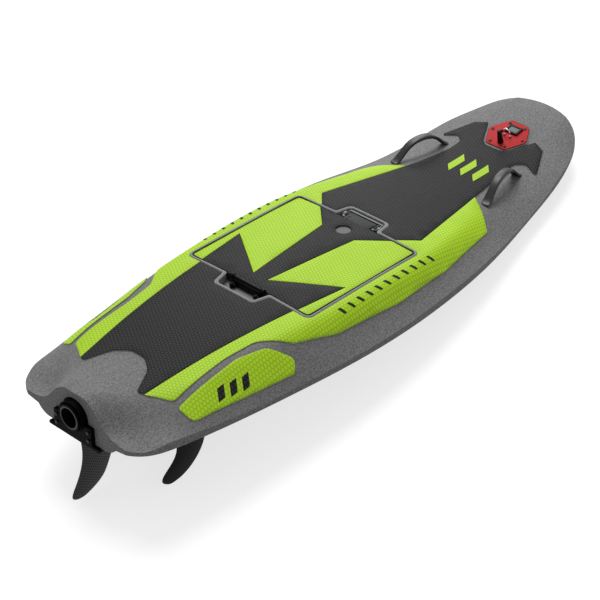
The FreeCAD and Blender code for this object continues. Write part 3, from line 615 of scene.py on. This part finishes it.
rim_tree = BVHTree.FromBMesh(level_copy("hatch_rim"))
bead_path = [Vector((at.x, at.y, height_at(rim_tree, at.x, at.y) - BEAD_SINK))
             for at in outline_points(BEAD_ROWS, cuts=8)]
tube("hatch_bead", [bead_path], BEAD_R, 3, RIM_GREY, closed=True)
print("bead points", len(bead_path))

# %% [markdown]
# Between the bead and the lid is a gap of a few millimetres, and a thin black tube lies in
# it. It draws the thin dark line beside the bead. It stops at the two recesses, so it is drawn
# as two open tubes, one for either side.

# %% Black tube in the gap between the bead and the lid
GAP_TUBE_ROWS = mirrored([(998.2, 70, 0), (998.2, 208.9, 10), (591.2, 208.9, 10), (591.2, 70, 0)])
GAP_TUBE_R, GAP_TUBE_Z = 1.5, 0.8

gap_tube_points = outline_points(GAP_TUBE_ROWS)
gap_tube_paths = [[Vector((at.x, at.y, GAP_TUBE_Z)) for at in gap_tube_points if at.y * side > 0]
             for side in (-1, 1)]
tube("gap_black_tube", gap_tube_paths, GAP_TUBE_R, 2, SEAL_AND_SHADE_BLACK)
print("lip of two halves,", len(gap_tube_paths[1]), "points each")

# %% [markdown]
# The lid closes with a long black draw latch: a bar with a knob at each end over a broad blade,
# with a grip lip below and two hooks that reach back over the rim. It is built from turned rods
# and broken-edge blocks in one mesh, because it is one moulding and nothing in it moves at this
# scale.

# %% Draw latch
LATCH_X, LATCH_Z = 589.0, 3.6
LATCH_HALF = 60.0

bm = bmesh.new()
rod(bm, (LATCH_X, -LATCH_HALF + 8, LATCH_Z), (LATCH_X, LATCH_HALF - 8, LATCH_Z), 4.6, edge=0.5)
for side in (-1, 1):
    y = side * (LATCH_HALF - 4.5)
    rod(bm, (LATCH_X, y - 4.5, LATCH_Z), (LATCH_X, y + 4.5, LATCH_Z), 7.0, edge=1.4)
    rod(bm, (LATCH_X, y - 6.5 * side, LATCH_Z), (LATCH_X, y - 9.0 * side, LATCH_Z), 6.0, edge=0.6)
    block(bm, (LATCH_X - 21, y - 13 * side - 4, -20), (LATCH_X - 4, y - 13 * side + 4, -6), 1.6)
    block(bm, (LATCH_X - 17, y - 13 * side - 9, -18), (LATCH_X - 9, y - 13 * side + 9, -9), 1.4)
block(bm, (LATCH_X - 7, -LATCH_HALF + 9, -20), (LATCH_X + 2, LATCH_HALF - 9, 1), 1.8)
for i in range(9):
    y = -34 + 8.5 * i
    block(bm, (LATCH_X - 8.2, y - 1.4, -14), (LATCH_X - 6, y + 1.4, -3), 0.5)
bmesh.ops.recalc_face_normals(bm, faces=bm.faces)
latch = finish_piece("latch_bar", bm, LATCH_BLACK, "lid", ["lid_latch"])
print("latch faces", len(latch.data.polygons))

# %% [markdown]
# Ahead of the lid a broad tab reaches into the hinge recess and wraps round the pin. The real
# one is a single soft-cornered moulding in the lid's colour, so a rounded cap is laid over the
# CAD's plain web.

# %% Hinge cap
bm = bmesh.new()
block(bm, (991, -45.5, -12), (1032, 45.5, 2.8), 3.4)
barrel_half = Vector((0, 46, 0))
rod(bm, HINGE - barrel_half, HINGE + barrel_half, 10.6, sides=48, edge=2.2)
for side in (-1, 1):
    for x in (1000.0, 1011.0):
        rod(bm, (x, side * 34, 2.0), (x, side * 34, 3.6), 3.2, edge=0.5)
bmesh.ops.recalc_face_normals(bm, faces=bm.faces)
cap = finish_piece("hinge_cap", bm, LID_GREY, "lid")
print("hinge cap faces", len(cap.data.polygons))

# %% [markdown]
# Round that tab the recess has a stepped floor: a grey ledge just below the deck, thin black
# plates further down that paint shade on the recess walls and floor, and a small cover over each
# of the two ears that hold the pin. The CAD has the recess and the ears; the step and the painted
# shade are what the eye reads as depth, and plain softened blocks make them.

# %% Ledge, painted shade and ear covers in the hinge recess
WELL_X, WELL_Y, LEDGE = 1045.0, 59.0, 5.5

bm = bmesh.new()
block(bm, (WELL_X - LEDGE, -WELL_Y, -6), (WELL_X, WELL_Y, -0.6), 0.8)
for side in (-1, 1):
    low, high = sorted((side * (WELL_Y - LEDGE + 3), side * WELL_Y))
    block(bm, (1010, low, -6), (WELL_X - LEDGE, high, -0.6), 0.8)
    low, high = sorted((side * 49.5, side * 55.5))
    block(bm, (1004, low, -18), (1012, high, 1.0), 1.5)
finish_piece("hinge_ledge", bm, RIM_GREY)

# Thin black plates line the recess walls and floor: painted shade
bm = bmesh.new()
block(bm, (WELL_X - LEDGE - 1.2, -WELL_Y + 0.4, -21),
      (WELL_X - LEDGE - 0.2, WELL_Y - 0.4, -1.2), 0.3)
for side in (-1, 1):
    low, high = sorted((side * 57.4, side * 58.6))
    block(bm, (1004, low, -21), (1039, high, -1.5), 0.3)
block(bm, (1000, -58.6, -21.8), (1039, 58.6, -20.8), 0.3)
finish_piece("hinge_well_painted_shade", bm, SEAL_AND_SHADE_BLACK)

bm = bmesh.new()
for side in (-1, 1):
    low, high = sorted((side * 48.6, side * 56.4))
    block(bm, (1013.5, low, -17), (1034.5, high, 2.4), 2.2)
finish_piece("hinge_ear_covers", bm, LID_GREY)
print("hinge recess lined, ledge", LEDGE, "mm wide")

# %% [markdown]
# Each grab handle is one rubber moulding: two flat tongues screwed to the deck, legs that curve
# up and an oval grip whose underside is painted near black as shade. A row of stations gives
# place, width and thickness along one half; a rounded flat ring is set at each and neighbouring
# rings are bridged. Subdivision then rounds it, which no single primitive would do.

# %% Sweep of a handle
# Columns: distance from the middle, height, half width, half thickness
GRIP = [
    (0.0, 53.5, 13.0, 5.8), (16.0, 52.6, 13.0, 5.8), (32.0, 49.0, 12.6, 5.6),
    (47.0, 41.5, 12.2, 5.4), (60.0, 31.0, 12.0, 5.2), (71.0, 20.0, 12.6, 5.0),
    (80.0, 11.5, 13.6, 4.7), (88.0, 6.0, 14.0, 4.2), (96.0, 3.4, 13.8, 3.4),
    (102.0, 2.4, 12.0, 2.6),
]
HANDLE_AT = [(1436.0, 147.5, -11.2, "port"), (1436.0, -147.5, 11.2, "starboard")]
HANDLE_Z = -24.0
BOLT_OUT, BOLT_RISE, BOLT_TILT, BOLT_OVAL = 80.0, 17.6, 43, 1.45
RING_SIDES = 20
SQUARENESS = 0.62  # 1 is an ellipse, less is flatter


def grip_ring(bm, s, z, half_w, half_t, slope):
    """Rounded flat ring across the grip; the slope turns it square to the arch."""
    made = bmesh.ops.create_circle(bm, segments=RING_SIDES, radius=1.0)
    for vert in made["verts"]:
        vert.co.x = math.copysign(abs(vert.co.x) ** SQUARENESS, vert.co.x)
        vert.co.y = math.copysign(abs(vert.co.y) ** SQUARENESS, vert.co.y)
    turn = Matrix.Rotation(-slope, 4, "Y") @ Matrix.Rotation(math.radians(90), 4, "Y")
    size = Matrix.Diagonal((half_t, half_w, 1.0, 1.0))
    bmesh.ops.transform(bm, matrix=Matrix.Translation((s, 0, z)) @ turn @ size,
                        verts=made["verts"])
    return list({e for v in made["verts"] for e in v.link_edges})


def grip_mesh():
    """One handle about its own middle; its underside gets the second material, painted shade."""
    stations = [(-s, z, w, t) for s, z, w, t in reversed(GRIP[1:])] + GRIP
    bm = bmesh.new()
    rings = []
    for i, (s, z, half_w, half_t) in enumerate(stations):
        a, b = stations[max(i - 1, 0)], stations[min(i + 1, len(stations) - 1)]
        rings.append(grip_ring(bm, s, z, half_w, half_t, math.atan2(b[1] - a[1], b[0] - a[0])))
    for one, two in zip(rings, rings[1:]):
        bmesh.ops.bridge_loops(bm, edges=one + two)
    for ring in (rings[0], rings[-1]):
        bmesh.ops.contextual_create(bm, geom=ring)
    bmesh.ops.recalc_face_normals(bm, faces=bm.faces)
    for face in bm.faces:
        # Faces that look down, above the tongues, take the second material: painted shade
        face.material_index = 1 if face.normal.z < -0.35 and face.calc_center_median().z > 6 else 0
    return bm


print("handle stations", 2 * len(GRIP) - 1)

# %% [markdown]
# The two handles mirror each other and are turned a little to follow the deck's edge. Each is
# the same mesh, placed and parked, then rounded by two levels of subdivision. On the aft leg of
# each, as on the front one, a near-black oval sits where the arch leaves the deck: painted shade
# in the sunk bolt hole.

# %% Grab handles
for x, y, turn, name in HANDLE_AT:
    place = Matrix.Translation((x, y, HANDLE_Z)) @ Matrix.Rotation(math.radians(turn), 4, "Z")
    bm = grip_mesh()
    bm.transform(place)
    grip = finish_piece("grab_handle_" + name, bm, GRIP_RUBBER, "board",
                        ["handle_" + name], crisp=80.0)
    grip.data.materials.append(PAINTED_SHADE_BLACK)
    smooth = grip.modifiers.new("round", "SUBSURF")
    smooth.levels = smooth.render_levels = 2
    # Near-black ovals: painted shade in the sunk bolt holes
    bm = bmesh.new()
    for side in (-1, 1):
        tilt = Matrix.Rotation(math.radians(side * BOLT_TILT), 4, "Y")
        lean = Matrix.Translation((side * BOLT_OUT, 0, BOLT_RISE)) @ tilt
        at = place @ lean @ Matrix.Diagonal((BOLT_OVAL, 1.0, 1.0, 1.0))
        rod(bm, (0, 0, -4.0), (0, 0, 0.3), 5.4, edge=0.3, at=at)
    finish_piece("handle_bolt_hole_shade_" + name, bm, PAINTED_SHADE_BLACK)
print("handles placed", [name for *_, name in HANDLE_AT])

# %% [markdown]
# The control panel is a red anodised plate let into the nose, held by six black socket screws
# over a dark gasket that shows as a hairline round it. It carries a small display, a ribbed key
# knob and a chrome eye for the safety tether. All of them are drawn flat about the plate's
# centre and tilted with the nose.

# %% Control panel
PANEL = Matrix.Translation((1643.0, 0.0, 8.5)) @ Matrix.Rotation(math.radians(-12.6), 4, "Y")
PROUD = 3.0
SCREW_RING = 53.5
CORNER_ANGLES = [math.radians(90 + 60 * i) for i in range(6)]


def hexagon(radius, corner):
    """Rows of a six-sided outline with one corner to port and one to starboard."""
    return [(radius * math.cos(a), radius * math.sin(a), corner) for a in CORNER_ANGLES]


def hexagon_plate(name, radius, corner, low, high, edge, material, replaces=()):
    """Six-sided plate with rounded corners and a broken upper edge."""
    bm = bmesh.new()
    face = rounded_face(bm, hexagon(radius, corner), low)
    lifted = bmesh.ops.extrude_face_region(bm, geom=[face], use_keep_orig=True)["geom"]
    bmesh.ops.translate(bm, verts=[v for v in lifted if isinstance(v, bmesh.types.BMVert)],
                        vec=(0, 0, high - low))
    bmesh.ops.recalc_face_normals(bm, faces=bm.faces)
    top = max(bm.faces, key=lambda f: f.calc_center_median().z)
    if edge:
        soften(bm, top.edges[:], edge)
    bm.transform(PANEL)
    return finish_piece(name, bm, material, "board", replaces)


hexagon_plate("panel_bed", 71.5, 3.0, -2.5, 0.5, 0.0, SHELL)
hexagon_plate("panel_gasket", 68.6, 9.5, 0.2, 1.9, 0.4, SEAL_AND_SHADE_BLACK)
hexagon_plate("panel_plate", 67.0, 9.0, 0.4, PROUD, 0.7, RED_PLATE, ["control_panel"])

bm = bmesh.new()
socket = bmesh.new()
for angle in CORNER_ANGLES:
    x, y = SCREW_RING * math.cos(angle), SCREW_RING * math.sin(angle)
    rod(bm, (x, y, PROUD - 0.5), (x, y, PROUD + 2.4), 4.6, edge=0.9, at=PANEL)
    # Each socket is painted near black: painted shade inside the screw head
    rod(socket, (x, y, PROUD + 1.5), (x, y, PROUD + 2.5), 2.3, sides=6, at=PANEL)
finish_piece("panel_screws", bm, STEEL_BLACK)
finish_piece("panel_screw_sockets", socket, PAINTED_SHADE_BLACK)
print("panel fixed with six screws")

# %% [markdown]
# The display is a bezel of four bars round a pane that lies a little deeper, because a sunk
# pane throws the thin shadow that makes it read as a screen. The key knob is a tapered rod with
# ten thin rods let into its flank as finger ribs. The tether eye is a bent wire, so it is a
# tube along an arch, with a flattened ball at each foot where the wire goes through the plate.

# %% Display, knob and tether eye
BEZEL_BARS = [((8, -26), (40, -19.5)), ((8, 11.5), (40, 18)), ((8, -24), (14, 16)),
              ((34, -24), (40, 16))]
bm = bmesh.new()
for low, high in BEZEL_BARS:
    block(bm, (*low, PROUD), (*high, PROUD + 5.4), 1.0, PANEL)
block(bm, (10, -24, PROUD), (38, 16, PROUD + 2.0), 0.4, PANEL)
rod(bm, (9, 18, PROUD + 3.0), (1, 26, PROUD + 3.0), 3.4, 2.6, edge=0.6, at=PANEL)
bmesh.ops.recalc_face_normals(bm, faces=bm.faces)
finish_piece("display_case", bm, LATCH_BLACK, "board", ["display"])
bm = bmesh.new()
block(bm, (13.2, -20.5, PROUD + 1.8), (34.8, 12.5, PROUD + 3.6), 0.5, PANEL)
finish_piece("display_glass", bm, GLASS)

KNOB, KNOB_TALL, KNOB_RIBS = Vector((-36.0, -3.0, PROUD)), 42.0, 10
bm = bmesh.new()
low, high = KNOB, KNOB + Vector((0, 0, KNOB_TALL))
rod(bm, low, low + Vector((0, 0, 5)), 9.0, 8.6, edge=0.8, at=PANEL)
rod(bm, low + Vector((0, 0, 4)), high, 7.6, 5.6, edge=1.0, at=PANEL)
for i in range(KNOB_RIBS):
    angle = 2 * math.pi * i / KNOB_RIBS
    out = Vector((math.cos(angle), math.sin(angle), 0))
    rod(bm, low + out * 7.4 + Vector((0, 0, 5)), high + out * 5.5 + Vector((0, 0, -3)), 1.1, 0.9,
        sides=10, edge=0.3, at=PANEL)
bmesh.ops.recalc_face_normals(bm, faces=bm.faces)
finish_piece("ribbed_knob", bm, BLACK_PLASTIC, "board", ["key_knob"])
bm = bmesh.new()
rod(bm, high + Vector((0, 0, -0.6)), high + Vector((0, 0, 0.5)), 4.6, edge=0.4, at=PANEL)
finish_piece("knob_cap", bm, LID_GREY)

EYE_AT, EYE_R, EYE_WIRE, EYE_RISE = Vector((-3.0, -1.0, PROUD)), 10.5, 2.3, 13.0
arch = [(-EYE_R, 0.0), (-EYE_R, EYE_RISE)]
for i in range(1, 12):
    angle = math.radians(15 * i)
    arch.append((-EYE_R * math.cos(angle), EYE_RISE + EYE_R * math.sin(angle)))
arch += [(EYE_R, EYE_RISE), (EYE_R, 0.0)]
arch_path = [PANEL @ (EYE_AT + Vector((0, y, z))) for y, z in arch]
tube("tether_arch", [arch_path], EYE_WIRE, 6, CHROME, replaces=["tether_eye"])
bm = bmesh.new()
for side in (-1, 1):
    foot = Matrix.Translation(EYE_AT + Vector((0, side * EYE_R, 2.6)))
    bmesh.ops.create_uvsphere(bm, u_segments=24, v_segments=14, radius=4.2,
                              matrix=PANEL @ foot @ Matrix.Diagonal((1, 1, 0.8, 1)))
finish_piece("tether_feet", bm, CHROME)
print("panel fittings done, wire points", len(arch_path))

# %% [markdown]
# The jet drive leaves through a black glass-filled nylon block that is bolted to the transom.
# The CAD's housing and nozzle have the right form; what the eye misses is the fixing. Four cap
# screws, a stepped lip round the outlet and screws under the ride plate are added. The screws
# are turned rods; the lip is one ring of edges, extruded again and again to new radii, as a
# lathe tool would step along it.

# %% Jet fixings
DUCT_Z = -92.0
LIP_START = (-8.0, 33.5)
# Columns: place along the drive axis, radius
LIP_STEPS = [(-14.0, 34.2), (-17.0, 36.4), (-21.0, 36.8), (-22.6, 35.2), (-22.8, 32.4)]

bm = bmesh.new()
sockets = bmesh.new()
for y, z in ((-57.0, -112.0), (57.0, -112.0), (-57.0, -136.0), (57.0, -136.0)):
    rod(bm, (-15.5, y, z), (-11.5, y, z), 4.4, edge=0.8)
    # Each socket is painted near black: painted shade inside the screw head
    rod(sockets, (-15.7, y, z), (-14.5, y, z), 2.2, sides=6)
for x in (18.0, 150.0):
    for y in (-74.0, 74.0):
        rod(bm, (x, y, -161.0), (x, y, -157.5), 5.2, edge=0.9)
        rod(sockets, (x, y, -161.2), (x, y, -160.0), 2.6, sides=6)
finish_piece("jet_screws", bm, STEEL_BLACK)
finish_piece("jet_screw_sockets", sockets, PAINTED_SHADE_BLACK)

bm = bmesh.new()
upright = Matrix.Translation((LIP_START[0], 0, DUCT_Z)) @ Matrix.Rotation(math.pi / 2, 4, "Y")
ring = bmesh.ops.create_circle(bm, segments=64, radius=LIP_START[1], matrix=upright)
edges = list({e for v in ring["verts"] for e in v.link_edges})
for x, radius in LIP_STEPS:
    grown = bmesh.ops.extrude_edge_only(bm, edges=edges)["geom"]
    verts = [v for v in grown if isinstance(v, bmesh.types.BMVert)]
    for v in verts:
        away = Vector((0, v.co.y, v.co.z - DUCT_Z)).normalized() * radius
        v.co = Vector((x, away.y, DUCT_Z + away.z))
    edges = [e for e in grown if isinstance(e, bmesh.types.BMEdge)]
bmesh.ops.recalc_face_normals(bm, faces=bm.faces)
finish_piece("nozzle_lip", bm, JET_BLACK)
print("jet dressed, lip radius up to", max(radius for _, radius in LIP_STEPS), "mm")

# %% [markdown]
# Under the lid a real hatch has a soft seal and a few moulded ribs, and the battery below has a
# carrying strap and a locking plug. They are seen only with the lid open, so they are plain and
# light, but the bay would look empty without them.

# %% Lid underside and battery fittings
# Columns: first and last x, first and last y of each rib
LID_RIBS = [(618, 970, -182, -178), (618, 970, 178, 182), (618, 622, -178, 178),
            (966, 970, -178, 178), (622, 966, -62, -58), (622, 966, 58, 62),
            (792, 796, -178, 178)]
SEAL_ROWS = [(600, -199, 12), (989, -199, 12), (989, 199, 12), (600, 199, 12)]
SEAL_R, SEAL_Z = 1.6, -21.2

bm = bmesh.new()
for x0, x1, y0, y1 in LID_RIBS:
    block(bm, (x0, y0, -28.0), (x1, y1, -21.0), 0.8)
finish_piece("lid_ribs", bm, LID_GREY, "lid")

seal_path = [Vector((at.x, at.y, SEAL_Z)) for at in outline_points(SEAL_ROWS)]
tube("lid_seal", [seal_path], SEAL_R, 2, SEAL_AND_SHADE_BLACK, "lid", closed=True)

bm = bmesh.new()
for y in (-62.0, 62.0):
    block(bm, (745, y - 9, -42.4), (781, y + 9, -36.0), 2.0)
block(bm, (756, -60, -39.0), (770, 60, -35.5), 1.4)
for y in (-135.0, 135.0):
    block(bm, (640, y - 10, -42.4), (886, y + 10, -40.6), 0.8)
block(bm, (884, -34, -70), (902, 34, -42), 3.0)
for y in (-14, 14):
    rod(bm, (902, y, -56), (918, y, -56), 9.0, edge=1.5)
bmesh.ops.recalc_face_normals(bm, faces=bm.faces)
finish_piece("battery_fittings", bm, BLACK_PLASTIC)
print("bay dressed, ribs", len(LID_RIBS))

# %% [markdown]
# The foam carries plain inlays: slanted bars, cut from foam of the other colour. They could be
# painted on by a pattern, but a cut inlay has an edge that catches light. Each bar is a flat
# face that is divided finely, dropped onto the pad's own surface and thickened, so that it
# follows the crown of the deck.

# %% Foam inlays
INLAY_PROUD, INLAY_T = 0.9, 1.0


def inlay(name, outlines, node, material):
    """Thin bars of foam laid on a pad."""
    tree = BVHTree.FromBMesh(level_copy(node))
    bm = bmesh.new()
    for rows in outlines:
        one = bmesh.new()
        rounded_face(one, rows, steps=3)
        bmesh.ops.triangulate(one, faces=one.faces[:])
        bmesh.ops.subdivide_edges(one, edges=one.edges[:], cuts=3, use_grid_fill=True)
        mesh = bpy.data.meshes.new("bar")
        one.to_mesh(mesh)
        one.free()
        bm.from_mesh(mesh)
        bpy.data.meshes.remove(mesh)
    bmesh.ops.remove_doubles(bm, verts=bm.verts, dist=0.01)
    for vert in bm.verts:
        vert.co.z = height_at(tree, vert.co.x, vert.co.y) + INLAY_PROUD
    bmesh.ops.recalc_face_normals(bm, faces=bm.faces)
    if sum(face.normal.z for face in bm.faces) < 0:
        bmesh.ops.reverse_faces(bm, faces=bm.faces)
    bmesh.ops.solidify(bm, geom=bm.faces[:], thickness=INLAY_T)
    bmesh.ops.recalc_face_normals(bm, faces=bm.faces)
    heights = [v.co.z for v in bm.verts]
    print(name, "from z", round(min(heights), 1), "to", round(max(heights), 1))
    return finish_piece(name, bm, material)


def bar(x, y, length, width, lean, radius=1.5):
    """Slanted bar: length along the board, width across it, lean as its far end's shift."""
    return [(x, y, radius), (x + length, y, radius), (x + length + lean, y + width, radius),
            (x + lean, y + width, radius)]


inlay("nose_inlay", [bar(1404, -70 + 44 * i, 70, 24, 26, 2.0) for i in range(3)],
      "deck_pad_front", LIME_FOAM)
for side, name in ((1, "port"), (-1, "starboard")):
    tail_bars = [bar(262 + 36 * i, side * (219 + 6 * i), 22, side * 22, -16) for i in range(3)]
    inlay("tail_inlay_" + name, tail_bars, "tail_pad_" + name, BLACK_FOAM)
    dashes = [bar(668 + 34 * i, side * 238, 9, side * 17, 8) for i in range(11)]
    inlay("strip_inlay_" + name, dashes, "side_pad_" + name, BLACK_FOAM)
print("inlays done")

# %% [markdown]
# The board stands on white paper. A floor bright enough to look white would throw its light
# back up at the board, so the paper is a light grey that glows for the camera only. Mirrors and
# glass see that glow too, and the shadow of the board still shows on it.

# %% Floor
FLOOR_HALF = 30.0
PAPER_GLOW = 0.72

floor_mesh = bpy.data.meshes.new("floor")
bm = bmesh.new()
bmesh.ops.create_grid(bm, x_segments=1, y_segments=1, size=FLOOR_HALF)
bm.to_mesh(floor_mesh)
bm.free()
floor = bpy.data.objects.new("floor", floor_mesh)
bpy.context.scene.collection.objects.link(floor)

# Seamless background paper: matte, a light grey that its own glow lifts to white for the camera
PAPER, tree = new_material("white_paper_floor")
path = add(tree, "ShaderNodeLightPath")
mirror = add(tree, "ShaderNodeMath", {
    0: path.outputs["Is Glossy Ray"], 1: path.outputs["Is Transmission Ray"]},
    operation="MAXIMUM")
direct = add(tree, "ShaderNodeMath", {
    0: path.outputs["Is Camera Ray"], 1: mirror.outputs[0]}, operation="MAXIMUM")
seen = add(tree, "ShaderNodeMath", {0: direct.outputs[0], 1: PAPER_GLOW}, operation="MULTIPLY")
surface(tree, add(tree, "ShaderNodeBsdfPrincipled", {
    "Base Color": srgb("#b4b4b4"), "Roughness": 0.9, "Specular IOR Level": 0.1,
    "Emission Color": srgb("#ffffff"), "Emission Strength": seen.outputs[0]}))
floor_mesh.materials.append(PAPER)

print("floor half width", FLOOR_HALF, "m")

# %% [markdown]
# Product light is a broad sky, one soft sun from ahead and to port, and a softbox beyond the
# port bow, whose glow lies on the forward pads. The transom and the starboard bevels stay
# darker, as in the picture. The softbox is hidden from the camera, and the view transform stays
# Standard, so a colour in the picture is close to the one written in its material.

# %% Sky, sun and softbox
SKY_STRENGTH = 0.38
SUN_STRENGTH, SUN_WIDTH, SUN_FROM = 1.75, math.radians(30), Vector((0.34, 0.32, 0.88))
BOX_WATTS, BOX_SIZE = 18.0, (1.5, 0.9)
BOX_AT, BOX_AIM = PARK @ Vector((2.7, 1.7, 1.25)), PARK @ Vector((0.95, 0.0, 0.0))

world = bpy.data.worlds.new("studio")
bpy.context.scene.world = world
world.use_nodes = True
sky = world.node_tree.nodes["Background"]
sky.inputs["Color"].default_value = (1, 1, 1, 1)
sky.inputs["Strength"].default_value = SKY_STRENGTH

lamp = bpy.data.lights.new("soft_sun", "SUN")
lamp.energy = SUN_STRENGTH
lamp.angle = SUN_WIDTH
soft_sun = bpy.data.objects.new("soft_sun", lamp)
soft_sun.rotation_euler = SUN_FROM.to_track_quat("Z", "Y").to_euler()
bpy.context.scene.collection.objects.link(soft_sun)

panel_lamp = bpy.data.lights.new("softbox", "AREA")
panel_lamp.shape = "RECTANGLE"
panel_lamp.size, panel_lamp.size_y = BOX_SIZE
panel_lamp.energy = BOX_WATTS
softbox = bpy.data.objects.new("softbox", panel_lamp)
facing = (BOX_AT - BOX_AIM).to_track_quat("Z", "Y").to_matrix().to_4x4()
softbox.matrix_world = Matrix.Translation(BOX_AT) @ facing
softbox.visible_camera = False
bpy.context.scene.collection.objects.link(softbox)
bpy.context.scene.view_settings.view_transform = "Standard"
print("sky", SKY_STRENGTH, "sun", SUN_STRENGTH, "softbox", BOX_WATTS, "watts")
